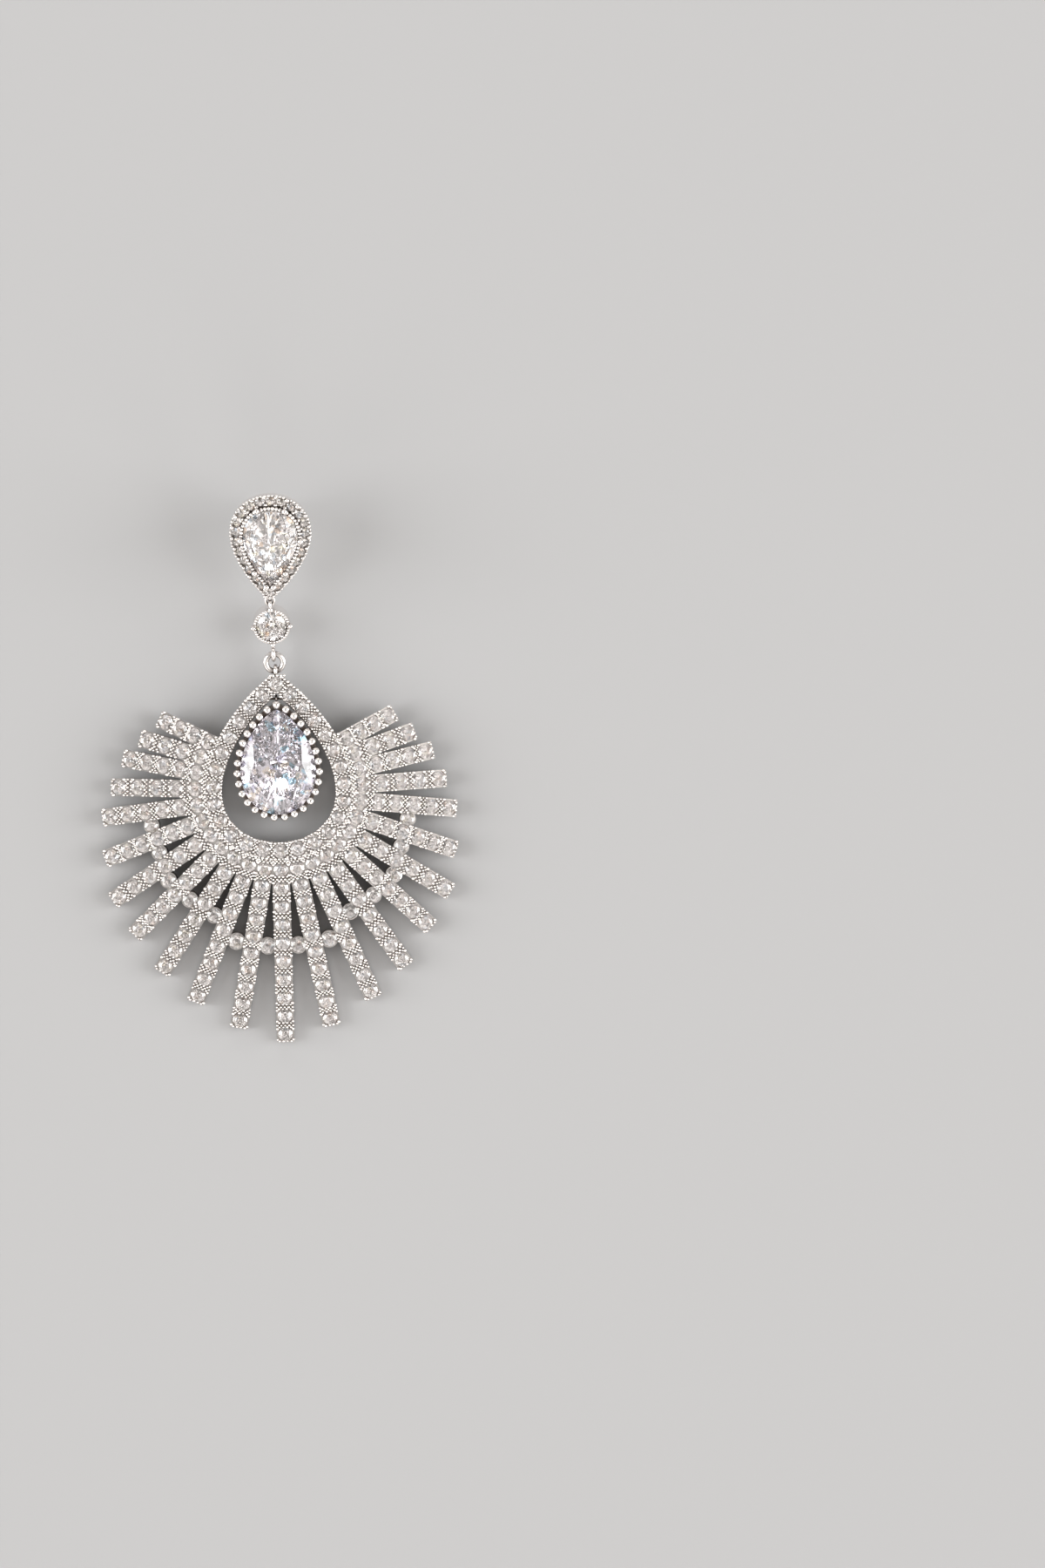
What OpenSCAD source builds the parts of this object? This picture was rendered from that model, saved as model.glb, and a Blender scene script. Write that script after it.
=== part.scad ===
// Long dangle earring, the left one of a pair, lying face up on a flat surface
// and propped on its post. Millimetres. +Z is up from the surface, +Y points
// from the fan's tips to the stud and +X is to the right, seen from above.

/* [Fan rail] */
// Width of the open teardrop, along the middle of its row of stones
rail_w = 15.9; // [15.6:0.1:16.2]
// Height of the same row, from apex to foot
rail_h = 20.2; // [20:0.1:20.4]
// How strongly the teardrop narrows to its apex
rail_taper = 0.8; // [0.7:0.05:0.9]
// Width of the rail's metal
rail_band = 2.1; // [2:0.05:2.2]
// Thickness of the fan's metal
fan_t = 1.5; // [1.4:0.1:1.8]
// Number of stones on the rail
rail_count = 26; // [22:1:26]
// Diameter of a stone on the rail
rail_stone_d = 1.75; // [1.4:0.05:1.75]

/* [Rays] */
// Radius of the ring of root stones
root_r = 9.9; // [9.9:0.1:10.2]
// Angle from one ray's root to the next
root_step = 11.3; // [11.2:0.1:11.5]
// Width of a ray's metal
ray_w = 2.1; // [2:0.05:2.15]
// Diameter of a stone on a ray
ray_stone_d = 1.75; // [1.4:0.05:1.75]
// Distance aimed at from stone to stone along a ray
ray_pitch = 2.1; // [2.1:0.05:2.4]
// Downward bend of the middle ray from the rail's plane
ray_droop = 2; // [1.5:0.25:2.5]
// Further bend of each ray beyond the one before it
ray_droop_step = 0.5; // [0.3:0.1:0.6]
// Metal round the stone in a cup between two rays
bridge_wall = 0.2; // [0.15:0.05:0.25]

/* [Drop] */
// Width of the large pear stone
drop_w = 9.1; // [8.8:0.1:9.2]
// Height of the large pear stone
drop_h = 12.6; // [12.2:0.1:12.8]
// Number of bead-headed posts round it
drop_beads = 29; // [25:1:29]
// Diameter of a bead
drop_bead_d = 0.94; // [0.8:0.02:0.96]

/* [Link] */
// Diameter of the round stone below the stud
link_stone_d = 3.7; // [3.4:0.1:3.8]
// Outer diameter of its collet
collet_d = 4.4; // [4.3:0.1:4.5]
// Radius of the jump ring, to the middle of its wire
ring_r = 1.05; // [1.05:0.05:1.2]
// Diameter of the jump ring's wire
ring_wire = 0.66; // [0.5:0.02:0.68]

/* [Stud] */
// Width of the stud's pear stone
stud_w = 6.6; // [6.4:0.1:6.7]
// Height of the stud's pear stone
stud_h = 9.9; // [9.6:0.1:10]
// Number of small stones round it
halo_count = 24; // [20:1:24]
// Diameter of a small stone
halo_stone_d = 1.1; // [0.9:0.05:1.1]
// Diameter of the ear post
post_d = 0.9; // [0.8:0.05:1]

/* [How it lies] */
// Slope of the fan, apex up
fan_tilt = 2.5; // [2:0.25:3]
// Slope of the jump ring
ring_tilt = 12; // [8:1:16]
// Slope of the link
link_tilt = 20; // [18:1:22]
// Slope of the stud
stud_tilt = 24; // [22:1:26]

/* [Hidden] */

SILVER = "silver";
CLEAR = "aliceblue";
LAVENDER = "lavender";

// Clearance round a stone in its seat, and how far its girdle stands above the
// metal's face
seat_gap = 0.03;
proud = 0.05;
// How far a cut reaches past the face it opens
past = 1;

// A round stone's proportions, as shares of its diameter
table_share = 0.56;
crown_share = 0.15;
depth_share = 0.42;

// One row a ray, from the middle one outwards: its direction from straight
// down in degrees, its length from root stone to tip, and how far from the
// fan's centre the bridge stone beyond it is, with that stone's diameter (both
// 0 where there is none)
DIRECTION = 0;
LENGTH = 1;
BRIDGE = 2;
BRIDGE_D = 3;
RAYS = [
    [0, 20.8, 19.1, 1.7],
    [10.8, 19.5, 19.2, 1.7],
    [22.8, 17.9, 17.2, 1.6],
    [33.9, 16.5, 17.2, 1.6],
    [46.3, 15.0, 17.3, 1.6],
    [57.5, 14.3, 16.3, 1.5],
    [69.8, 12.7, 15.9, 1.5],
    [83.7, 11.6, 0, 0],
    [92.6, 10.2, 0, 0],
    [102.5, 9.1, 0, 0],
    [108.5, 7.7, 0, 0],
    [117, 6.6, 0, 0]];
last_ray = len(RAYS) - 1;
// Metal beyond the middle of a ray's last stone, and inwards of its first
tip_margin = 0.95;
root_back = 1.35;

// Middle of the rail's teardrop above the fan's centre
rail_y = 2.4;
// Flat end of the rail's apex and the eye that stands on it, in the fan's frame
apex_cut = 13.45;
eye_r = 0.62;
eye_wire = 0.44;
eye_y = 14.0;
// Hanger bar across a notch in the inner apex, for the drop's loop
hanger_d = 0.28;
hanger_half = 0.95;
hanger_y = 10.65;
notch_w = 0.6;
notch_top = 11.3;

// The drop in the fan's frame: its stone's middle, and its girdle above the back
drop_y = 3.05;
drop_z = 1.75;
drop_taper = 0.45;
drop_crown = 1.3;
drop_depth = 3.3;
bead_reach = 0.4;
bead_stretch = 2.4;
bead_shift = 0.12;
bead_rise = 0.38;
drop_post_d = 0.54;
basket_depth = 3.6;
basket_rail_t = 0.5;
basket_rail_in = 0.5;
basket_rail_out = 0.12;
upper_rail_z = 1.1;
drop_loop_r = 0.38;
drop_loop_wire = 0.26;

// The link: its bail below, its loop above, and its collet
link_crown = 0.6;
link_depth = 1.5;
collet_h = 2.2;
collet_lip = 0.12;
collet_ledge = 0.3;
collet_wall = 0.3;
bail_r = 0.68;
bail_wire = 0.5;
bail_y = 3.49;
neck_d = 0.56;
link_loop_r = 0.5;
link_loop_wire = 0.4;
link_loop_y = 2.8;
prong_d = 0.56;
prong_out = 0.05;
prong_rise = 0.3;

// The stud: z is measured from the face of its halo
stud_taper = 0.9;
stud_crown = 1.1;
stud_depth = 2.3;
stud_girdle = 0.45;
halo_reach = 0.82;
halo_stretch = 2.5;
halo_band = 1.45;
halo_t = 0.8;
collar_h = 0.2;
collar_out = 0.22;
collar_in = 0.27;
basket_out = 0.3;
basket_floor = 2.25;
basket_base = 2.75;
claw_reach = 0.36;
claw_stretch = 2.2;
claw_d = 0.4;
claw_head_d = 0.72;
claw_top = 0.85;
stud_eye_y = 7.3;
stud_eye_z = 0.6;
post_y = 1.0;
socket_d = 1.8;
socket_base = 3.3;
socket_depth = 0.45;
tenon_d = 0.5;
groove_d = 0.58;
groove_from_end = 2;
groove_h = 0.6;

// Turns about the vertical, where the parts came to rest
fan_turn = 1.54;
ring_turn = 7;
link_turn = 3.5;
stud_turn = -0.8;

// A vector tilted about X, then turned about Z
function tilted(v, tilt) = [
    v.x,
    v.y * cos(tilt) - v.z * sin(tilt),
    v.y * sin(tilt) + v.z * cos(tilt)];
function turned(v, turn) = [
    v.x * cos(turn) - v.y * sin(turn),
    v.x * sin(turn) + v.y * cos(turn),
    v.z];
function laid(v, tilt, turn) = turned(tilted(v, tilt), turn);

// How far a ray's lowest tip corner is below the fan's centre
function droop(n) = ray_droop + ray_droop_step * n;
function tip_drop(n) =
    let (heading = RAYS[n][DIRECTION])
    root_r * cos(root_step * n) * sin(fan_tilt)
    + RAYS[n][LENGTH] * (cos(heading) * cos(droop(n)) * sin(fan_tilt) + sin(droop(n)) * cos(fan_tilt))
    + ray_w / 2 * sin(heading) * sin(fan_tilt);

// Where each part lies, hung one on the next from the fan to the stud: the
// lowest tips touch the surface, and the whole is centred on the origin
fan_x = -0.16;
fan_y = -2.233;
fan_z = max([for (n = [0:last_ray]) tip_drop(n)]);
fan_at = [fan_x, fan_y, fan_z];
fan_eye = [0, eye_y, fan_t / 2];
ring_at = fan_at + laid(fan_eye, fan_tilt, fan_turn) + laid([0, ring_r, 0], ring_tilt, ring_turn);
bail_at = ring_at + laid([0, ring_r, 0], ring_tilt, ring_turn);
link_at = bail_at + laid([0, bail_y, 0], link_tilt, link_turn);
joint_at = link_at + laid([0, link_loop_y + link_loop_r, 0], link_tilt, link_turn);
stud_at = joint_at - laid([0, -stud_eye_y, -stud_eye_z], stud_tilt, stud_turn);

// Depth below the stud's face at which the post's round end meets the surface
post_end = (stud_at.z + post_y * sin(stud_tilt) - post_d / 2) / cos(stud_tilt);

// A teardrop outline, apex towards +Y: t runs from 0 at the apex round to 360
function pear_half(t, taper) = sin(t) * pow(abs(sin(t / 2)), taper);
function pear_point(t, w, h, taper) =
    let (widest = 2 * atan(sqrt(1 + taper)))
    [-w / 2 * pear_half(t, taper) / pear_half(widest, taper), h / 2 * cos(t)];
function pear(w, h, taper, sides) = [
    for (i = [0:sides - 1]) pear_point(360 * i / sides, w, h, taper)];

// Distance along a closed outline up to each of its points
function run_lengths(points) = [
    for (i = 0, run = 0; i <= len(points);
        run = run + norm(points[(i + 1) % len(points)] - points[i % len(points)]), i = i + 1) run];

// The point and its heading at a distance along such an outline
function place_on(points, runs, distance, i = 0) =
    i < len(points) - 1 && runs[i + 1] < distance
        ? place_on(points, runs, distance, i + 1)
        : let (a = points[i],
               b = points[(i + 1) % len(points)],
               share = (distance - runs[i]) / (runs[i + 1] - runs[i]))
          a + (b - a) * share;

// A number of places spaced evenly along a closed outline, from its apex
function spaced_on(points, count) =
    let (runs = run_lengths(points), whole = runs[len(points)])
    [for (i = [0:count - 1]) place_on(points, runs, whole * i / count)];

// Sides of a teardrop: of one that becomes a wall, and of one along which places
// are spaced
WALL = 60;
SPACING = 180;
rail_line = pear(rail_w, rail_h, rail_taper, WALL);
rail_places = spaced_on(pear(rail_w, rail_h, rail_taper, SPACING), rail_count);

// A row of places outside a stone's outline is wider by a reach on each side,
// and longer by a little more than that, for its apex
halo_w = stud_w + 2 * halo_reach;
halo_h = stud_h + halo_stretch * halo_reach;
halo_line = pear(halo_w, halo_h, stud_taper, WALL);
halo_places = spaced_on(pear(halo_w, halo_h, stud_taper, SPACING), halo_count);
bead_w = drop_w + 2 * bead_reach;
bead_h = drop_h + bead_stretch * bead_reach;
bead_line = pear(bead_w, bead_h, drop_taper, WALL);
bead_places = spaced_on(pear(bead_w, bead_h, drop_taper, SPACING), drop_beads);

module lying(at, tilt, turn) {
    translate(at) rotate([tilt, 0, turn]) children();
}
module in_fan() {
    lying(fan_at, fan_tilt, fan_turn) children();
}
module in_drop() {
    in_fan() translate([0, drop_y, drop_z]) children();
}
module in_link() {
    lying(link_at, link_tilt, link_turn) children();
}
module in_stud() {
    lying(stud_at, stud_tilt, stud_turn) children();
}

// A cut stone: a flat table over half as many points as its girdle has, crown
// facets between them, and a pavilion that runs down to one point
module cut_stone(girdle, table_scale, crown, depth) {
    n = len(girdle);
    half = n / 2;
    top = [for (i = [0:half - 1]) [each girdle[2 * i] * table_scale, crown]];
    rim = [for (p = girdle) [each p, 0]];
    facets = [
        [for (i = [half - 1:-1:0]) i],
        for (i = [0:half - 1]) each [
            [i, half + 2 * i, half + (2 * i + n - 1) % n],
            [i, half + 2 * i + 1, half + 2 * i],
            [i, (i + 1) % half, half + 2 * i + 1]],
        for (j = [0:n - 1]) [half + j, half + (j + 1) % n, half + n]];
    polyhedron(concat(top, rim, [[0, 0, -depth]]), facets);
}

// The girdle of a round stone, and the whole stone with its girdle at z = 0
function round_girdle(d, sides = 16) = [
    for (i = [0:sides - 1]) [sin(i * 360 / sides), -cos(i * 360 / sides)] * d / 2];
module round_stone(d) {
    cut_stone(round_girdle(d), table_share, d * crown_share, d * depth_share);
}

// A round stone set in a face at height top, and the room cut for it: a pocket
// as wide as its pavilion is where it passes the face, and above it its girdle's
module set_stone(d, top) {
    translate([0, 0, top + proud]) round_stone(d);
}
module stone_seat(d, top) {
    depth = d * depth_share;
    deep = depth - proud + 2 * seat_gap;
    mouth = d * (1 - proud / depth) + 2 * seat_gap;
    translate([0, 0, top - deep]) cylinder(d = mouth, h = deep + past, $fn = 32);
    translate([0, 0, top]) cylinder(d = d + 2 * seat_gap, h = past, $fn = 32);
}

// A wire ring round the X axis, or round Z where flat
module wire_ring(r, wire, flat = false) {
    rotate(flat ? [0, 0, 0] : [0, 90, 0])
        rotate_extrude($fn = 48) translate([r, 0]) circle(d = wire, $fn = 24);
}

// Places on the fan: a distance along ray k, counted from the middle one with
// its sign giving the side, and the bridge beyond ray n on one side
function ray_count(n) = round((RAYS[n][LENGTH] - tip_margin) / ray_pitch) + 1;
function ray_step(n) = (RAYS[n][LENGTH] - tip_margin) / (ray_count(n) - 1);
module on_ray(k, along) {
    n = abs(k);
    root = root_step * k;
    translate([root_r * sin(root), -root_r * cos(root), 0])
        rotate([droop(n), 0, sign(k) * RAYS[n][DIRECTION]])
            translate([0, -along, 0]) children();
}
module on_bridge(n, side) {
    root = side * root_step * (n + 0.5);
    heading = side * (RAYS[n][DIRECTION] + RAYS[n + 1][DIRECTION]) / 2;
    translate([root_r * sin(root), -root_r * cos(root), 0])
        rotate([droop(n + 0.5), 0, heading])
            translate([0, root_r - RAYS[n][BRIDGE], 0]) children();
}
module each_ray_stone() {
    for (k = [-last_ray:last_ray], i = [0:ray_count(abs(k)) - 1])
        on_ray(k, i * ray_step(abs(k))) children();
}
module each_rail_stone() {
    for (p = rail_places) translate([p.x, p.y + rail_y, 0]) children();
}
module each_bridge() {
    for (n = [0:last_ray - 1], side = [-1, 1])
        if (RAYS[n][BRIDGE] > 0) on_bridge(n, side) {
            $stone_d = RAYS[n][BRIDGE_D];
            children();
        }
}

module rail_outline() {
    difference() {
        intersection() {
            offset(delta = rail_band / 2) polygon(rail_line);
            translate([-rail_w, -rail_h]) square([2 * rail_w, rail_h + apex_cut - rail_y]);
        }
        offset(delta = -rail_band / 2) polygon(rail_line);
    }
}

module fan_frame() {
    color(SILVER) in_fan() {
        difference() {
            union() {
                translate([0, rail_y, 0]) linear_extrude(fan_t) rail_outline();
                for (k = [-last_ray:last_ray])
                    on_ray(k, RAYS[abs(k)][LENGTH])
                        translate([-ray_w / 2, 0, 0])
                            cube([ray_w, RAYS[abs(k)][LENGTH] + root_back, fan_t]);
                each_bridge() cylinder(d = $stone_d + 2 * bridge_wall, h = fan_t, $fn = 32);
            }
            each_ray_stone() stone_seat(ray_stone_d, fan_t);
            each_rail_stone() stone_seat(rail_stone_d, fan_t);
            each_bridge() stone_seat($stone_d, fan_t);
            translate([-notch_w / 2, notch_top - 2, -past])
                cube([notch_w, 2, fan_t + 2 * past]);
        }
        translate([-hanger_half, hanger_y, fan_t / 2])
            rotate([0, 90, 0]) cylinder(d = hanger_d, h = 2 * hanger_half, $fn = 24);
        translate(fan_eye) wire_ring(eye_r, eye_wire);
    }
}

module frame_stones() {
    color(CLEAR) in_fan() each_rail_stone() set_stone(rail_stone_d, fan_t);
}

module ray_stones() {
    color(CLEAR) in_fan() each_ray_stone() set_stone(ray_stone_d, fan_t);
}

module bridge_stones() {
    color(CLEAR) in_fan() each_bridge() set_stone($stone_d, fan_t);
}

module basket_rail() {
    linear_extrude(basket_rail_t) difference() {
        offset(delta = basket_rail_out) polygon(bead_line);
        offset(delta = -basket_rail_in) polygon(bead_line);
    }
}

module drop_setting() {
    color(SILVER) in_drop() {
        translate([0, bead_shift, 0]) {
            for (p = bead_places) translate([p.x, p.y, 0]) {
                translate([0, 0, -basket_depth])
                    cylinder(d = drop_post_d, h = basket_depth + bead_rise, $fn = 24);
                translate([0, 0, bead_rise]) sphere(d = drop_bead_d, $fn = 24);
            }
            translate([0, 0, -basket_depth]) basket_rail();
            translate([0, 0, -upper_rail_z]) basket_rail();
        }
        translate([0, hanger_y - drop_y, fan_t / 2 - drop_z])
            wire_ring(drop_loop_r, drop_loop_wire);
    }
}

module drop_stone() {
    color(LAVENDER) in_drop()
        cut_stone(pear(drop_w, drop_h, drop_taper, 32), table_share, drop_crown, drop_depth);
}

module jump_ring() {
    color(SILVER) lying(ring_at, ring_tilt, ring_turn) wire_ring(ring_r, ring_wire, flat = true);
}

module link_setting() {
    stone_r = link_stone_d / 2;
    color(SILVER) in_link() {
        difference() {
            translate([0, 0, collet_lip - collet_h]) cylinder(d = collet_d, h = collet_h, $fn = 48);
            translate([0, 0, -collet_ledge])
                cylinder(r = stone_r + 2 * seat_gap, h = collet_ledge + past, $fn = 48);
            translate([0, 0, -link_depth - 2 * seat_gap])
                cylinder(r = stone_r - collet_wall, h = link_depth, $fn = 48);
        }
        for (i = [0:3]) rotate([0, 0, 90 * i])
            translate([0, collet_d / 2 + prong_out, -prong_rise]) {
                cylinder(d = prong_d, h = 2 * prong_rise, $fn = 24);
                translate([0, 0, 2 * prong_rise]) sphere(d = prong_d, $fn = 24);
            }
        translate([0, -bail_y, 0]) wire_ring(bail_r, bail_wire);
        translate([0, -collet_d / 2 + 0.2, 0])
            rotate([90, 0, 0]) cylinder(d = neck_d, h = bail_y - bail_r - collet_d / 2 + 0.2, $fn = 24);
        translate([0, link_loop_y, 0]) wire_ring(link_loop_r, link_loop_wire);
    }
}

module link_stone() {
    color(CLEAR) in_link()
        cut_stone(round_girdle(link_stone_d), table_share, link_crown, link_depth);
}

// The stud hangs apex down, so its teardrops are turned half round
module stud_pear(reach) {
    rotate(180) offset(delta = reach) polygon(pear(stud_w, stud_h, stud_taper, WALL));
}

module each_halo_stone() {
    for (p = halo_places) translate([-p.x, -p.y, 0]) children();
}

// Claws stand between halo stones: one at the tip's end and three a side
module each_claw() {
    steps = [0.5, 2.5, 6.5, 10.5];
    claw_w = stud_w + 2 * claw_reach;
    line = pear(claw_w, stud_h + claw_stretch * claw_reach, stud_taper, SPACING);
    runs = run_lengths(line);
    for (s = steps, side = [-1, 1]) {
        p = place_on(line, runs, runs[SPACING] * s / halo_count);
        translate([side * p.x, -p.y, 0]) children();
    }
}

module stud_setting() {
    color(SILVER) in_stud() difference() {
        union() {
            translate([0, 0, -halo_t])
                linear_extrude(halo_t) rotate(180) offset(delta = halo_band / 2) polygon(halo_line);
            translate([0, 0, -halo_t / 2])
                linear_extrude(halo_t / 2 + collar_h) stud_pear(collar_out);
            translate([0, 0, -basket_base])
                linear_extrude(basket_base - halo_t / 2) stud_pear(basket_out);
            translate([0, post_y, -socket_base]) cylinder(d = socket_d, h = 1, $fn = 32);
            each_claw() {
                translate([0, 0, -halo_t / 2])
                    cylinder(d = claw_d, h = halo_t / 2 + claw_top, $fn = 24);
                translate([0, 0, claw_top]) sphere(d = claw_head_d, $fn = 24);
            }
            translate([0, -stud_eye_y, -stud_eye_z]) wire_ring(link_loop_r, link_loop_wire, flat = true);
        }
        translate([0, 0, -basket_floor]) linear_extrude(basket_floor + past) stud_pear(-collar_in);
        each_halo_stone() stone_seat(halo_stone_d, 0);
        translate([0, post_y, -socket_base - past])
            cylinder(d = tenon_d + 2 * seat_gap, h = socket_depth + past, $fn = 32);
    }
}

// The post: a round end, a groove for the clutch, a plain shank up to its
// shoulder under the stud, and a tenon in the socket there
module ear_post() {
    shoulder = socket_base + seat_gap;
    groove_top = post_end - groove_from_end;
    groove_foot = groove_top + groove_h;
    color(SILVER) in_stud() translate([0, post_y, 0]) {
        translate([0, 0, -post_end]) sphere(d = post_d, $fn = 32);
        translate([0, 0, -post_end]) cylinder(d = post_d, h = post_end - groove_foot, $fn = 32);
        translate([0, 0, -post_end]) cylinder(d = groove_d, h = post_end - shoulder, $fn = 32);
        translate([0, 0, -groove_top]) cylinder(d = post_d, h = groove_top - shoulder, $fn = 32);
        translate([0, 0, -groove_top])
            cylinder(d = tenon_d, h = groove_top - socket_base + socket_depth - seat_gap, $fn = 32);
    }
}

module stud_stone() {
    color(CLEAR) in_stud() translate([0, 0, stud_girdle]) rotate(180)
        cut_stone(pear(stud_w, stud_h, stud_taper, 32), table_share, stud_crown, stud_depth);
}

module halo_stones() {
    color(CLEAR) in_stud() each_halo_stone() set_stone(halo_stone_d, 0);
}

stud_setting();
ear_post();
stud_stone();
halo_stones();
link_setting();
link_stone();
jump_ring();
fan_frame();
frame_stones();
ray_stones();
bridge_stones();
drop_setting();
drop_stone();
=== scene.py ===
# Long dangle earring, the left one of a pair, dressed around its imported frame:
# cubic zirconia in bead settings on rhodium-plated brass, lying face up on a
# pale sweep under two softboxes. Blender's metres, +Z up, +Y towards the stud.
import math

import bmesh
import bpy
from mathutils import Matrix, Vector


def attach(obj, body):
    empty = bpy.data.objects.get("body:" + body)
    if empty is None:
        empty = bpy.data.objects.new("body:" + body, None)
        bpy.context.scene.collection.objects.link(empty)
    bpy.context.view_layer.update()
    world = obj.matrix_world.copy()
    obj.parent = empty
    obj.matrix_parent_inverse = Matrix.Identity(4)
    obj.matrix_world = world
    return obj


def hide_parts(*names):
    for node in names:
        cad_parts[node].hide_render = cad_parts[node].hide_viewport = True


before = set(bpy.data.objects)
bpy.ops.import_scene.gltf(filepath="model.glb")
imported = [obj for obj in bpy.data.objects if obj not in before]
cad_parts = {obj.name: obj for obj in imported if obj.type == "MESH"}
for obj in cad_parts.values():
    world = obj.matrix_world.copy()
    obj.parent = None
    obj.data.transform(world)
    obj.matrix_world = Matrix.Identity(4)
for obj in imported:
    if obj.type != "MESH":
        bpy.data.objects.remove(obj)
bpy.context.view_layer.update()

MM = 0.001

# The photograph: its size in pixels, the width of one on the surface, and the
# pixel that the earring's origin is at
PHOTO_W = 1200
PHOTO_H = 1800
PIXEL = 0.105 * MM
ORIGIN_PX = (322, 882)

# Vertices nearer than this are one
WELD = 0.001 * MM
# Decimals of a metre that stones are sorted by, so that their order is the same each time
SORT_DECIMALS = 6

# A brilliant cut's proportions, as shares of its girdle's width. Large stones have the wide table
TABLE = 0.56
WIDE_TABLE = 0.64
CROWN = 0.12
DEPTH = 0.31
# How far from the middle the star facets' tips and the lower halves' tips are,
# as shares of the way to the girdle, and half the girdle's thickness as a share
# of the crown's height
STAR = 0.79
LOWER = 0.24
GIRDLE_HALF = 0.05
# Main facets round a stone
MAINS = 8
# How far a small stone may lean in its seat, either way
LEAN = math.radians(1.5)
# Heavy crystal bends light strongly
ZIRCONIA_IOR = 2.15
# The slot of the mirror finish on a stone's back
BACK = 1
# Share of a stone with no painted flash of fire, only its own colour
PAINTED_FIRE_FROM = 0.8
# Two stones whose facings differ by less than this are in one ray
SAME_FACING = 0.001
# How much wider than their seats bridge stones and halo stones are cut
BRIDGE_WIDER = 1.1
HALO_WIDER = 1.12

# A bead has few faces, because there are thousands of them
BEAD_SIDES = 10
BEAD_RINGS = 5
# How much a bead may differ in width from the one that is aimed at, cut by hand and rolled in a row
UNEVEN_CUT = 0.2
UNEVEN_ROLLED = 0.1

# Real sizes of the patterns in the finishes: the waver of cast metal, how far from a wall it counts
# as a corner for the painted shade, the crinkle of foil and the tooth of paper
CAST_WAVER = 0.3 * MM
CORNER_REACH = 1.6 * MM
FOIL_CRINKLE = 1.2 * MM
PAPER_TOOTH = 0.4 * MM


def first(sockets, name):
    """The socket of that name which the node's settings leave in use."""
    return next(s for s in sockets if s.enabled and name in (s.name, None))


def add(tree, kind, inputs=None, **settings):
    """Adds a node with its settings. Each input takes a value, or a node's or a socket's output."""
    node = tree.nodes.new(kind)
    for key, value in settings.items():
        setattr(node, key, value)
    for key, value in (inputs or {}).items():
        socket = node.inputs[key] if isinstance(key, int) else first(node.inputs, key)
        if isinstance(value, bpy.types.Node):
            value = first(value.outputs, None)
        if isinstance(value, bpy.types.NodeSocket):
            tree.links.new(value, socket)
        else:
            socket.default_value = value
    return node


def linear(hex_colour):
    """An sRGB hex colour as linear RGBA."""
    parts = [int(hex_colour[i:i + 2], 16) / 255 for i in (1, 3, 5)]
    return [p / 12.92 if p <= 0.04045 else ((p + 0.055) / 1.055) ** 2.4 for p in parts] + [1.0]


# Cut stones

def brilliant(shape, girdle, culet, axis, crown, table_share=TABLE, back_turn=0):
    """Adds a brilliant cut over a girdle: a table, stars, kites and halves above it, and mains and
    lower halves below, down to the culet, turned by some of the girdle's points."""
    count = len(girdle)
    step = count // MAINS
    depth = (sum(girdle, Vector()) / count - culet).dot(axis)
    centre = culet + axis * depth
    slope = math.cos(math.pi / MAINS)
    star_z = crown * (1 - STAR * slope) / (1 - table_share)
    band = crown * GIRDLE_HALF

    def inner(i, share, height):
        return shape.verts.new(centre + (girdle[i % count] - centre) * share + axis * height)

    def below(k):
        return (step * k + back_turn) % count

    table = [inner(step * k, table_share, crown) for k in range(MAINS)]
    stars = [inner(step * k + step // 2, STAR, star_z) for k in range(MAINS)]
    upper = [inner(i, 1, band) for i in range(count)]
    under = [inner(i, 1, -band) for i in range(count)]
    lower = [inner(below(k) + step // 2, LOWER, -depth * (1 - LOWER * slope)) for k in range(MAINS)]
    foot = shape.verts.new(culet)

    backs = []
    shape.faces.new(table)
    for k in range(MAINS):
        start = step * k
        shape.faces.new((table[(k + 1) % MAINS], table[k], stars[k]))
        shape.faces.new((table[k], upper[start], stars[k]))
        shape.faces.new((table[k], stars[k - 1], upper[start]))
        backs.append((foot, lower[k], under[below(k)], lower[k - 1]))
        for i in range(step):
            j = (start + i + 1) % count
            shape.faces.new((stars[k], upper[start + i], upper[j]))
            shape.faces.new((upper[start + i], under[start + i], under[j], upper[j]))
            backs.append((lower[k], under[(below(k) + i + 1) % count], under[(below(k) + i) % count]))
    for corners in backs:
        shape.faces.new(corners).material_index = BACK


def new_mesh(name, shape):
    """A mesh from a bmesh, its faces turned outwards."""
    bmesh.ops.recalc_face_normals(shape, faces=shape.faces)
    mesh = bpy.data.meshes.new(name)
    shape.to_mesh(mesh)
    shape.free()
    return mesh


def place(name, data):
    """An object in the scene with that mesh, light or camera."""
    piece = bpy.data.objects.new(name, data)
    bpy.context.scene.collection.objects.link(piece)
    return piece


class Stone:
    """A cut stone of a CAD node: its culet, its girdle's points, middle and width, and the way it faces."""

    def __init__(self, vertices):
        point = max(vertices, key=lambda v: len(v.link_faces))
        rim = [edge.other_vert(point).co.copy() for edge in point.link_edges]
        self.culet = point.co.copy()
        self.middle = sum(rim, Vector()) / len(rim)
        spokes = [r - self.middle for r in rim]
        self.facing = max((spokes[0].cross(s) for s in spokes), key=lambda c: c.length).normalized()
        if self.facing.dot(self.middle - self.culet) < 0:
            self.facing.negate()
        side = spokes[0].normalized()
        up = self.facing.cross(side)
        spokes.sort(key=lambda s: math.atan2(s.dot(up), s.dot(side)))
        tip = spokes.index(max(spokes, key=lambda s: s.length))
        self.girdle = [self.middle + s for s in spokes[tip:] + spokes[:tip]]
        self.width = 2 * sum(s.length for s in spokes) / len(spokes)
        self.along = side


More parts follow.
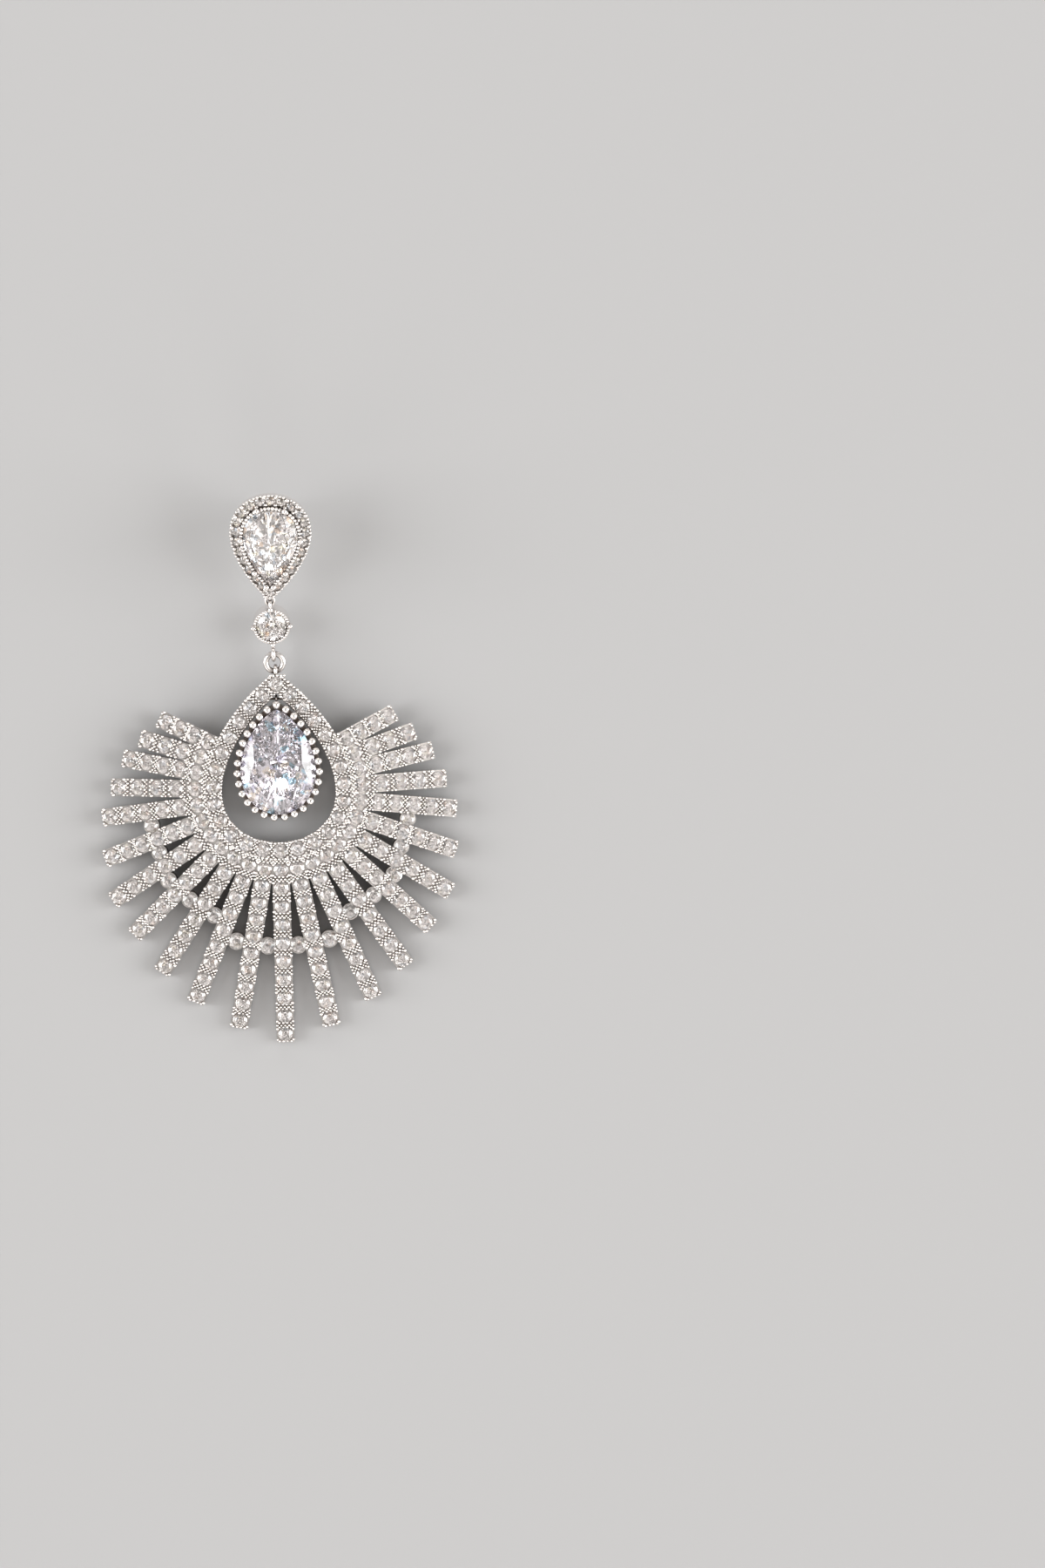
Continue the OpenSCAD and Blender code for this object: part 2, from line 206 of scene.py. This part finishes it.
def stones_in(node):
    """The cut stones of a CAD node, read from its mesh."""
    shape = bmesh.new()
    shape.from_mesh(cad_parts[node].data)
    bmesh.ops.remove_doubles(shape, verts=shape.verts, dist=WELD)
    left = set(shape.verts)
    stones = []
    while left:
        island = [left.pop()]
        for vert in island:
            for edge in vert.link_edges:
                other = edge.other_vert(vert)
                if other in left:
                    left.remove(other)
                    island.append(other)
        stones.append(Stone(island))
    shape.free()
    return sorted(stones, key=lambda s: tuple(round(c, SORT_DECIMALS) for c in s.middle))


def in_a_ring(stones):
    """Stones of a closed row in order round it, each with the row's direction as its along."""
    middle = sum((s.middle for s in stones), Vector()) / len(stones)
    facing = sum((s.facing for s in stones), Vector()).normalized()
    side = facing.orthogonal().normalized()
    up = facing.cross(side)

    def angle(stone):
        spoke = stone.middle - middle
        return math.atan2(spoke.dot(up), spoke.dot(side))

    ordered = sorted(stones, key=angle)
    for before, stone, after in zip(ordered[-1:] + ordered, ordered, ordered[1:] + ordered[:1]):
        stone.along = (after.middle - before.middle).normalized()
    return ordered, middle, facing


def in_rays(stones, middle):
    """Stones sorted into their straight rays, each from root to tip, with the ray's direction as
    its along."""
    rays = []
    for stone in stones:
        ray = next((r for r in rays if (r[0].facing - stone.facing).length < SAME_FACING), None)
        if ray is None:
            rays.append([stone])
        else:
            ray.append(stone)
    for ray in rays:
        ray.sort(key=lambda s: (s.middle - middle).length)
        for stone in ray:
            stone.along = (ray[-1].middle - ray[0].middle).normalized()
    return rays


# Geometry Nodes trees

def new_tree(name, inputs):
    """A geometry tree with its named inputs, and the sockets that bring them in."""
    tree = bpy.data.node_groups.new(name, "GeometryNodeTree")
    tree.interface.new_socket("Geometry", in_out="INPUT", socket_type="NodeSocketGeometry")
    for label, kind in inputs.items():
        tree.interface.new_socket(label, in_out="INPUT", socket_type="NodeSocket" + kind)
    tree.interface.new_socket("Geometry", in_out="OUTPUT", socket_type="NodeSocketGeometry")
    return tree, add(tree, "NodeGroupInput").outputs


def attribute(tree, name, kind="FLOAT_VECTOR"):
    """What the points of the seed mesh carry under that name."""
    return add(tree, "GeometryNodeInputNamedAttribute", {"Name": name}, data_type=kind)


def finish_tree(tree, source, geometry, smooth):
    """Realizes the instances, shades them, gives all but a stone's back their finish, and ends the
    tree."""
    real = add(tree, "GeometryNodeRealizeInstances", {"Geometry": geometry})
    shaded = add(tree, "GeometryNodeSetShadeSmooth", {"Geometry": real, "Shade Smooth": smooth})
    slot = add(tree, "GeometryNodeInputMaterialIndex")
    front = add(tree, "FunctionNodeCompare", {"A": slot, "B": BACK}, data_type="INT", operation="LESS_THAN")
    done = add(tree, "GeometryNodeSetMaterial", {
        "Geometry": shaded, "Selection": front, "Material": source["Finish"]})
    add(tree, "NodeGroupOutput", {"Geometry": done})
    return tree


def stone_tree():
    """Sets a stone on each place, facing out, turned at random in its seat and leaning a little."""
    tree, source = new_tree("set stones", {
        "Stone": "Object", "Turn": "Float", "Lean": "Float", "Seed": "Int", "Finish": "Material"})
    facing = add(tree, "FunctionNodeAlignRotationToVector", {"Vector": attribute(tree, "facing")}, axis="Z")
    low = add(tree, "ShaderNodeMath", {0: source["Lean"], 1: -1}, operation="MULTIPLY")
    least = add(tree, "ShaderNodeCombineXYZ", {"X": low, "Y": low})
    most = add(tree, "ShaderNodeCombineXYZ", {"X": source["Lean"], "Y": source["Lean"], "Z": source["Turn"]})
    chance = add(tree, "FunctionNodeRandomValue",
                 {"Min": least, "Max": most, "Seed": source["Seed"]}, data_type="FLOAT_VECTOR")
    turn = add(tree, "FunctionNodeEulerToRotation", {"Euler": chance})
    seated = add(tree, "FunctionNodeRotateRotation", {"Rotation": facing, "Rotate By": turn},
                 rotation_space="LOCAL")
    shape = add(tree, "GeometryNodeObjectInfo", {"Object": source["Stone"]}).outputs["Geometry"]
    stones = add(tree, "GeometryNodeInstanceOnPoints", {
        "Points": source["Geometry"], "Instance": shape, "Rotation": seated,
        "Scale": attribute(tree, "width", "FLOAT")})
    return finish_tree(tree, source, stones, False)


def bead_tree():
    """Raises rows of beads across the metal at each stone, spread evenly from Forward behind it to
    Forward before it. A single row stands behind it, because the divide by no further rows gives 0."""
    tree, source = new_tree("bead prongs", {
        "Bead": "Object", "Rows": "Int", "Across": "Int", "Forward": "Float", "Sideways": "Float",
        "Rise": "Float", "Width": "Float", "Uneven": "Float", "Seed": "Int", "Finish": "Material"})
    places = add(tree, "GeometryNodeMeshToPoints", {"Mesh": source["Geometry"]})
    all_rows = add(tree, "ShaderNodeMath", {0: source["Across"], 1: source["Rows"]}, operation="MULTIPLY")
    beads = add(tree, "GeometryNodeDuplicateElements", {"Geometry": places, "Amount": all_rows},
                domain="POINT")
    number = beads.outputs["Duplicate Index"]
    along = attribute(tree, "along")
    facing = attribute(tree, "facing")
    across = add(tree, "ShaderNodeVectorMath", {0: facing, 1: along}, operation="CROSS_PRODUCT")
    rows_on = add(tree, "ShaderNodeMath", {0: number, 1: source["Across"]}, operation="DIVIDE")
    row = add(tree, "ShaderNodeMath", {0: rows_on}, operation="FLOOR")
    column = add(tree, "ShaderNodeMath", {0: number, 1: source["Across"]}, operation="MODULO")
    last_row = add(tree, "ShaderNodeMath", {0: source["Rows"], 1: 1}, operation="SUBTRACT")
    last_column = add(tree, "ShaderNodeMath", {0: source["Across"], 1: 1}, operation="SUBTRACT")
    offset = add(tree, "ShaderNodeVectorMath", {0: facing, 3: source["Rise"]}, operation="SCALE")
    for direction, value, step, steps in ((along, source["Forward"], row, last_row),
                                          (across, source["Sideways"], column, last_column)):
        share = add(tree, "ShaderNodeMath", {0: step, 1: steps}, operation="DIVIDE")
        side = add(tree, "ShaderNodeMath", {0: share, 1: 2, 2: -1}, operation="MULTIPLY_ADD")
        far = add(tree, "ShaderNodeMath", {0: side, 1: value}, operation="MULTIPLY")
        reach = add(tree, "ShaderNodeVectorMath", {0: direction, 3: far}, operation="SCALE")
        offset = add(tree, "ShaderNodeVectorMath", {0: offset, 1: reach}, operation="ADD")
    moved = add(tree, "GeometryNodeSetPosition", {"Geometry": beads.outputs["Geometry"], "Offset": offset})
    size = uneven_size(tree, source)
    shape = add(tree, "GeometryNodeObjectInfo", {"Object": source["Bead"]}).outputs["Geometry"]
    raised = add(tree, "GeometryNodeInstanceOnPoints", {
        "Points": moved, "Instance": shape, "Scale": size,
        "Rotation": add(tree, "FunctionNodeAlignRotationToVector", {"Vector": facing}, axis="Z")})
    return finish_tree(tree, source, raised, True)


def uneven_size(tree, source):
    """The width that a tree is given, a little larger or smaller from one bead to the next."""
    most = add(tree, "ShaderNodeMath", {0: 1, 1: source["Uneven"]}, operation="ADD")
    least = add(tree, "ShaderNodeMath", {0: 1, 1: source["Uneven"]}, operation="SUBTRACT")
    chance = add(tree, "FunctionNodeRandomValue", {"Min": least, "Max": most, "Seed": source["Seed"]},
                 data_type="FLOAT")
    return add(tree, "ShaderNodeMath", {0: chance, 1: source["Width"]}, operation="MULTIPLY")


def milgrain_tree():
    """Strings fine beads along a smooth line, a spacing apart."""
    tree, source = new_tree("beaded edge", {
        "Bead": "Object", "Spacing": "Float", "Width": "Float", "Uneven": "Float",
        "Seed": "Int", "Finish": "Material"})
    straight = add(tree, "GeometryNodeMeshToCurve", {"Mesh": source["Geometry"]})
    smooth = add(tree, "GeometryNodeCurveSplineType", {"Curve": straight}, spline_type="CATMULL_ROM")
    spaced = add(tree, "GeometryNodeResampleCurve", {"Curve": smooth, "Length": source["Spacing"]},
                 mode="LENGTH")
    shape = add(tree, "GeometryNodeObjectInfo", {"Object": source["Bead"]}).outputs["Geometry"]
    beads = add(tree, "GeometryNodeInstanceOnPoints", {
        "Points": spaced, "Instance": shape, "Scale": uneven_size(tree, source)})
    return finish_tree(tree, source, beads, True)


def grow(name, seeds, tree, values):
    """A piece that a tree grows on a seed mesh, kept as a plain mesh."""
    piece = place(name, seeds)
    modifier = piece.modifiers.new(tree.name, "NODES")
    modifier.node_group = tree
    for item in tree.interface.items_tree:
        if item.in_out == "INPUT" and item.name in values:
            modifier[item.identifier] = values[item.name]
    graph = bpy.context.evaluated_depsgraph_get()
    grown = bpy.data.meshes.new_from_object(piece.evaluated_get(graph), depsgraph=graph)
    piece.modifiers.remove(modifier)
    piece.data = grown
    return piece


def seats(stones):
    """A mesh with a vertex at each stone, which carries the way it faces, the row's direction and
    its width."""
    mesh = bpy.data.meshes.new("seats")
    mesh.from_pydata([s.middle for s in stones], [], [])
    for name in ("facing", "along"):
        values = mesh.attributes.new(name, "FLOAT_VECTOR", "POINT").data
        values.foreach_set("vector", [c for s in stones for c in getattr(s, name)])
    mesh.attributes.new("width", "FLOAT", "POINT").data.foreach_set("value", [s.width for s in stones])
    return mesh


def closed_line(points):
    """A mesh with an edge from each point to the next, and from the last to the first."""
    mesh = bpy.data.meshes.new("line")
    edges = [(i, i + 1) for i in range(len(points) - 1)] + [(len(points) - 1, 0)]
    mesh.from_pydata(points, edges, [])
    return mesh


# Finishes

def new_finish(name):
    """A material with no nodes yet, and its node tree."""
    finish = bpy.data.materials.new(name)
    finish.use_nodes = True
    finish.node_tree.nodes.clear()
    return finish, finish.node_tree


def rhodium_plate():
    """Rhodium plate over cast brass, tumbled and polished: a bright, slightly warm white mirror
    with the faint waver of a cast surface, rougher in the corners that no polishing wheel reaches.
    Those corners also carry painted shade: their colour is darkened towards brown."""
    finish, tree = new_finish("polished_rhodium_plate")
    place_at = add(tree, "ShaderNodeTexCoord").outputs["Object"]
    waver = add(tree, "ShaderNodeTexNoise", {"Vector": place_at, "Scale": 1 / CAST_WAVER, "Detail": 2.0})
    relief = add(tree, "ShaderNodeBump", {"Height": first(waver.outputs, "Fac"), "Strength": 0.35,
                                          "Distance": 0.03 * MM})
    # Painted shade: near other metal and stones the colour is mixed down towards a dark brown, and the metal
    # is left rougher there
    open_to_light = add(tree, "ShaderNodeAmbientOcclusion", {"Distance": CORNER_REACH}, samples=8)
    depth = add(tree, "ShaderNodeMapRange", {"Value": open_to_light.outputs["AO"], "From Min": 0.4,
                                             "From Max": 0.9})
    colour = add(tree, "ShaderNodeMix", {"Factor": depth, "A": linear("#6E625A"), "B": linear("#F5F1EF")},
                 data_type="RGBA")
    polish = add(tree, "ShaderNodeMapRange", {"Value": depth, "To Min": 0.5, "To Max": 0.14})
    rough = add(tree, "ShaderNodeMath", {0: first(waver.outputs, "Fac"), 1: 0.12, 2: polish},
                operation="MULTIPLY_ADD")
    metal = add(tree, "ShaderNodeBsdfPrincipled", {
        "Base Color": first(colour.outputs, "Result"), "Metallic": 1.0, "Roughness": rough, "Normal": relief})
    add(tree, "ShaderNodeOutputMaterial", {"Surface": metal})
    return finish


def zirconia(name, body_colour, painted_fire_colours, grain, milky):
    """Cut and polished cubic zirconia: a heavy, clear crystal whose facets throw back hard white
    light beside grey ones. Small cold and warm flashes of fire are painted into its colour in
    patches, in place of the light it splits. Small stones are a little milky, from the fine dust
    and rubbed edges that scatter some of it."""
    finish, tree = new_finish(name)
    place_at = add(tree, "ShaderNodeTexCoord").outputs["Object"]
    # Painted fire: patches of the crystal's colour turn warm or cold, standing in for the light it splits
    painted_fire_cells = add(tree, "ShaderNodeTexVoronoi", {"Vector": place_at, "Scale": 1 / grain})
    pick = add(tree, "ShaderNodeSeparateColor", {"Color": painted_fire_cells.outputs["Color"]})
    ramp = add(tree, "ShaderNodeValToRGB", {"Fac": pick.outputs["Red"]})
    ramp.color_ramp.interpolation = "CONSTANT"
    stops = ramp.color_ramp.elements
    stops[0].color = linear(body_colour)
    stops[1].position = PAINTED_FIRE_FROM
    stops[1].color = linear(painted_fire_colours[0])
    span = (1 - PAINTED_FIRE_FROM) / len(painted_fire_colours)
    for i, colour in enumerate(painted_fire_colours[1:], 1):
        stops.new(PAINTED_FIRE_FROM + span * i).color = linear(colour)
    crystal = add(tree, "ShaderNodeBsdfPrincipled", {
        "Base Color": ramp.outputs["Color"], "Roughness": 0.0, "IOR": ZIRCONIA_IOR,
        "Transmission Weight": 1 - milky})
    add(tree, "ShaderNodeOutputMaterial", {"Surface": crystal})
    return finish


def foil_backing():
    """Silver foil under lacquer on the stones' backs, as costume stones have: a clean mirror that
    turns all the light that comes in through the front back out again."""
    finish, tree = new_finish("silver_foil_backing")
    place_at = add(tree, "ShaderNodeTexCoord").outputs["Object"]
    crinkle = add(tree, "ShaderNodeTexNoise", {"Vector": place_at, "Scale": 1 / FOIL_CRINKLE, "Detail": 1.0})
    tone = add(tree, "ShaderNodeMix", {"Factor": first(crinkle.outputs, "Fac"), "A": linear("#F1F0F0"),
                                       "B": linear("#FBFAFA")}, data_type="RGBA")
    foil = add(tree, "ShaderNodeBsdfPrincipled", {
        "Base Color": first(tone.outputs, "Result"), "Metallic": 1.0, "Roughness": 0.03})
    add(tree, "ShaderNodeOutputMaterial", {"Surface": foil})
    return finish


def paper_sweep():
    """Smooth matt studio paper, pale grey: even, with no gloss."""
    finish, tree = new_finish("pale_grey_paper")
    place_at = add(tree, "ShaderNodeTexCoord").outputs["Object"]
    tooth = add(tree, "ShaderNodeTexNoise", {"Vector": place_at, "Scale": 1 / PAPER_TOOTH, "Detail": 2.0})
    relief = add(tree, "ShaderNodeBump", {"Height": first(tooth.outputs, "Fac"), "Strength": 0.05,
                                          "Distance": 0.02 * MM})
    paper = add(tree, "ShaderNodeBsdfPrincipled", {
        "Base Color": linear("#AAAAAB"), "Roughness": 0.9, "Specular IOR Level": 0.2, "Normal": relief})
    add(tree, "ShaderNodeOutputMaterial", {"Surface": paper})
    return finish


RHODIUM = rhodium_plate()
# Each stone finish: its body colour, then its painted flashes of fire, the size of their patches, and how
# milky it is
CLEAR = zirconia("clear_zirconia", "#F7F6F6", ["#F3D0B2", "#C8DEF4", "#F0EFD0"], 0.7 * MM, 0.0)
SMALL_CLEAR = zirconia("small_clear_zirconia", "#FCF8F6", ["#F8E8DE", "#EEF2F8", "#F8F2E6"], 0.4 * MM, 0.12)
HALO_CLEAR = zirconia("halo_zirconia", "#FBF7F5", ["#F6DCCB", "#DFE9F6", "#F3EEDA"], 0.4 * MM, 0.02)
FOIL = foil_backing()
LAVENDER = zirconia("lavender_zirconia", "#EFEDF8", ["#8FD0F2", "#F4E4CE", "#C9C9EC"], 0.8 * MM, 0.0)

for name in ("stud_setting", "ear_post", "link_setting", "jump_ring", "fan_frame", "drop_setting"):
    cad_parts[name].data.materials.clear()
    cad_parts[name].data.materials.append(RHODIUM)


# Shapes that the trees repeat, one unit wide

def unit_stone():
    shape = bmesh.new()
    turn = 2 * math.pi / (2 * MAINS)
    girdle = [Vector((math.cos(turn * i), math.sin(turn * i), 0)) / 2 for i in range(2 * MAINS)]
    brilliant(shape, girdle, Vector((0, 0, -DEPTH)), Vector((0, 0, 1)), CROWN)
    stone = place("unit_stone", new_mesh("unit_stone", shape))
    for finish in (SMALL_CLEAR, FOIL):
        stone.data.materials.append(finish)
    return stone


def unit_bead():
    shape = bmesh.new()
    bmesh.ops.create_uvsphere(shape, u_segments=BEAD_SIDES, v_segments=BEAD_RINGS, radius=0.5)
    return place("unit_bead", new_mesh("unit_bead", shape))


STONE = unit_stone()
BEAD = unit_bead()
SET_STONES = stone_tree()
BEAD_PRONGS = bead_tree()
BEADED_EDGE = milgrain_tree()


def dress(piece, slot, *nodes):
    """The piece rides on the frame and stands for the nodes; the slot is not used."""
    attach(piece, "root")
    if nodes:
        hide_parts(*nodes)


def small_stones(name, stones, node, seed, finish=SMALL_CLEAR):
    """A piece with a small cut stone in each seat, in place of a node."""
    piece = grow(name, seats(stones), SET_STONES, {
        "Stone": STONE, "Turn": math.pi, "Lean": LEAN, "Seed": seed, "Finish": finish})
    dress(piece, "clear_stone", node)


def widen(stones, share):
    """Makes the stones wider, so that they are cut out over the edge of their seats."""
    for stone in stones:
        stone.width *= share
    return stones


def bead_prongs(name, stones, seed, rows, across, forward, sideways, rise, width):
    """A piece with so many rows of so many beads at each stone, each so wide and so far up."""
    piece = grow(name, seats(stones), BEAD_PRONGS, {
        "Bead": BEAD, "Rows": rows, "Across": across, "Forward": forward, "Sideways": sideways,
        "Rise": rise, "Width": width, "Uneven": UNEVEN_CUT, "Seed": seed, "Finish": RHODIUM})
    dress(piece, "silver_metal")


def beaded_edge(name, points, seed, spacing, width):
    """A piece with beads so wide, a spacing apart, round a closed line of points."""
    piece = grow(name, closed_line(points), BEADED_EDGE, {
        "Bead": BEAD, "Spacing": spacing, "Width": width, "Uneven": UNEVEN_ROLLED, "Seed": seed,
        "Finish": RHODIUM})
    dress(piece, "silver_metal")


def large_stone(name, stone, node, slot, finish, crown, depth_share, back_turn):
    """A large stone with a wide table, cut to a share of the depth that its seat leaves it."""
    shape = bmesh.new()
    culet = stone.middle + (stone.culet - stone.middle) * depth_share
    brilliant(shape, stone.girdle, culet, stone.facing, crown, WIDE_TABLE, back_turn)
    piece = place(name, new_mesh(name, shape))
    for face_finish in (finish, FOIL):
        piece.data.materials.append(face_finish)
    dress(piece, slot, node)


# The fan: its rail, rays and bridges

rail, rail_middle, rail_facing = in_a_ring(stones_in("frame_stones"))
rays = in_rays(stones_in("ray_stones"), rail_middle)
ray_stones = [stone for ray in rays for stone in ray]
bridges = stones_in("bridge_stones")
for stone in bridges:
    outward = stone.middle - rail_middle
    stone.along = (outward - stone.facing * outward.dot(stone.facing)).normalized()

small_stones("rail_brilliants", rail, "frame_stones", 1)
small_stones("ray_brilliants", ray_stones, "ray_stones", 2)
small_stones("bridge_brilliants", widen(bridges, BRIDGE_WIDER), "bridge_stones", 3)

# Each gap between two stones is a close block of beads as wide as the metal: a row across its
# middle, a row between those at each stone's own edge, and prongs that tooth the metal's sides
for metal, stones, seed in (("ray", ray_stones, 4), ("rail", rail, 6)):
    bead_prongs(metal + "_prongs", stones, seed, rows=2, across=2,
                forward=0.65 * MM, sideways=0.95 * MM, rise=0.03 * MM, width=0.38 * MM)
    bead_prongs(metal + "_seat_beads", stones, seed + 11, rows=2, across=4,
                forward=0.84 * MM, sideways=0.71 * MM, rise=0.04 * MM, width=0.32 * MM)
    bead_prongs(metal + "_gap_beads", stones, seed + 1, rows=1, across=5,
                forward=1.05 * MM, sideways=0.95 * MM, rise=0.02 * MM, width=0.32 * MM)


def beside(stones, facing, out, rise):
    """The row's line moved sideways by out, away from its middle, and up by rise."""
    return [s.middle + s.along.cross(facing) * out + facing * rise for s in stones]


def round_edge(stone, out, rise):
    """A large stone's edge moved outwards and up."""
    return [g + (g - stone.middle).normalized() * out + stone.facing * rise for g in stone.girdle]


beaded_edge("rail_milgrain", beside(rail, rail_facing, out=-0.98 * MM, rise=-0.1 * MM), 7,
            spacing=0.42 * MM, width=0.36 * MM)
beaded_edge("rail_shoulder", beside(rail, rail_facing, out=0.98 * MM, rise=-0.05 * MM), 12,
            spacing=0.5 * MM, width=0.42 * MM)

# The stud

halo, _, halo_facing = in_a_ring(stones_in("halo_stones"))
small_stones("halo_brilliants", widen(halo, HALO_WIDER), "halo_stones", 8, HALO_CLEAR)
bead_prongs("halo_beads", halo, 9, rows=1, across=2,
            forward=0.58 * MM, sideways=0.5 * MM, rise=0.06 * MM, width=0.52 * MM)
beaded_edge("stud_milgrain", beside(halo, halo_facing, out=0.66 * MM, rise=-0.08 * MM), 10,
            spacing=0.46 * MM, width=0.38 * MM)
stud = stones_in("stud_stone")[0]
beaded_edge("stud_seat_beads", round_edge(stud, out=0.24 * MM, rise=0.02 * MM), 13,
            spacing=0.46 * MM, width=0.52 * MM)
large_stone("stud_brilliant", stud, "stud_stone", "clear_stone", CLEAR,
            crown=0.65 * MM, depth_share=0.84, back_turn=3)

# The link and the drop

link = stones_in("link_stone")[0]
beaded_edge("link_milgrain", round_edge(link, out=0.16 * MM, rise=0.05 * MM), 14,
            spacing=0.36 * MM, width=0.38 * MM)
large_stone("link_brilliant", link, "link_stone", "clear_stone", CLEAR,
            crown=0.45 * MM, depth_share=0.8, back_turn=0)
large_stone("drop_brilliant", stones_in("drop_stone")[0], "drop_stone", "lavender_stone", LAVENDER,
            crown=0.95 * MM, depth_share=0.92, back_turn=1)

# The templates have been copied into the pieces, and none stays in the scene
for template in (STONE, BEAD):
    bpy.data.objects.remove(template)


# The stage

# The softboxes in metres: how far from the earring, how high for each metre aside, and their size.
# Radiance is in watts for each square metre and steradian
SOFTBOX_DISTANCE = 2.4
SOFTBOX_SLOPE = 0.62
SOFTBOX_WIDE = 1.26
SOFTBOX_LONG = 2.55
SOFTBOX_RADIANCE = 4.55


def softbox(name, side):
    """A rectangular softbox on one side of the earring, turned to it."""
    light = bpy.data.lights.new(name, "AREA")
    light.shape = "RECTANGLE"
    light.size = SOFTBOX_WIDE
    light.size_y = SOFTBOX_LONG
    light.energy = SOFTBOX_RADIANCE * math.pi * SOFTBOX_WIDE * SOFTBOX_LONG
    lamp = place(name, light)
    lamp.location = Vector((side, 0.0, SOFTBOX_SLOPE)).normalized() * SOFTBOX_DISTANCE
    lamp.rotation_euler = (-lamp.location).to_track_quat("-Z", "Y").to_euler()
    lamp.visible_camera = False


softbox("left_softbox", -1.0)
softbox("right_softbox", 1.0)


def studio_room():
    """The room round the sweep: pale walls with dark gaps between them, dim near the floor and at the
    ceiling, which polished metal and cut stones show as dark specks. Behind the earring it is plain."""
    world = bpy.data.worlds.new("studio_room")
    world.use_nodes = True
    tree = world.node_tree
    tree.nodes.clear()
    way = add(tree, "ShaderNodeTexCoord").outputs["Generated"]
    walls = add(tree, "ShaderNodeTexNoise", {"Vector": way, "Scale": 2.6, "Detail": 1.0})
    light = add(tree, "ShaderNodeMapRange", {"Value": first(walls.outputs, "Fac"), "From Min": 0.40,
                                             "From Max": 0.58, "To Min": 0.25, "To Max": 2.65})
    height = add(tree, "ShaderNodeSeparateXYZ", {"Vector": way}).outputs["Z"]
    for low, high, start, end in ((0.0, 0.3, 0.25, 1.0), (0.35, 0.8, 1.0, 0.38)):
        dimming = add(tree, "ShaderNodeMapRange", {"Value": height, "From Min": low, "From Max": high,
                                                   "To Min": start, "To Max": end})
        light = add(tree, "ShaderNodeMath", {0: light, 1: dimming}, operation="MULTIPLY")
    room = add(tree, "ShaderNodeBackground", {"Color": linear("#FFFBF6"), "Strength": light})
    backdrop = add(tree, "ShaderNodeBackground", {"Color": linear("#CBC9C6"), "Strength": 1.0})
    seen = add(tree, "ShaderNodeLightPath").outputs["Is Camera Ray"]
    both = add(tree, "ShaderNodeMixShader", {0: seen, 1: room, 2: backdrop})
    add(tree, "ShaderNodeOutputWorld", {"Surface": both})
    return world


bpy.context.scene.world = studio_room()

# Half the width of the sweep, in metres
SWEEP = 1.3
floor_shape = bmesh.new()
bmesh.ops.create_grid(floor_shape, x_segments=1, y_segments=1, size=SWEEP)
floor = place("paper_floor", new_mesh("paper_floor", floor_shape))
floor.data.materials.append(paper_sweep())

# The camera looks straight down: its height in metres, and its sensor's longer side in millimetres
CAMERA_HEIGHT = 2.1
SENSOR = 36.0
camera_data = bpy.data.cameras.new("camera")
camera_data.lens = SENSOR * CAMERA_HEIGHT / (PHOTO_H * PIXEL)
camera = place("camera", camera_data)
camera.location = (
    (PHOTO_W / 2 - ORIGIN_PX[0]) * PIXEL, (ORIGIN_PX[1] - PHOTO_H / 2) * PIXEL, CAMERA_HEIGHT)
bpy.context.scene.camera = camera
bpy.context.scene.view_settings.view_transform = "Standard"

# Light goes to and fro in a cut stone many times before it comes out again
bpy.context.scene.cycles.max_bounces = 32
bpy.context.scene.cycles.glossy_bounces = 24
bpy.context.scene.cycles.transmission_bounces = 32
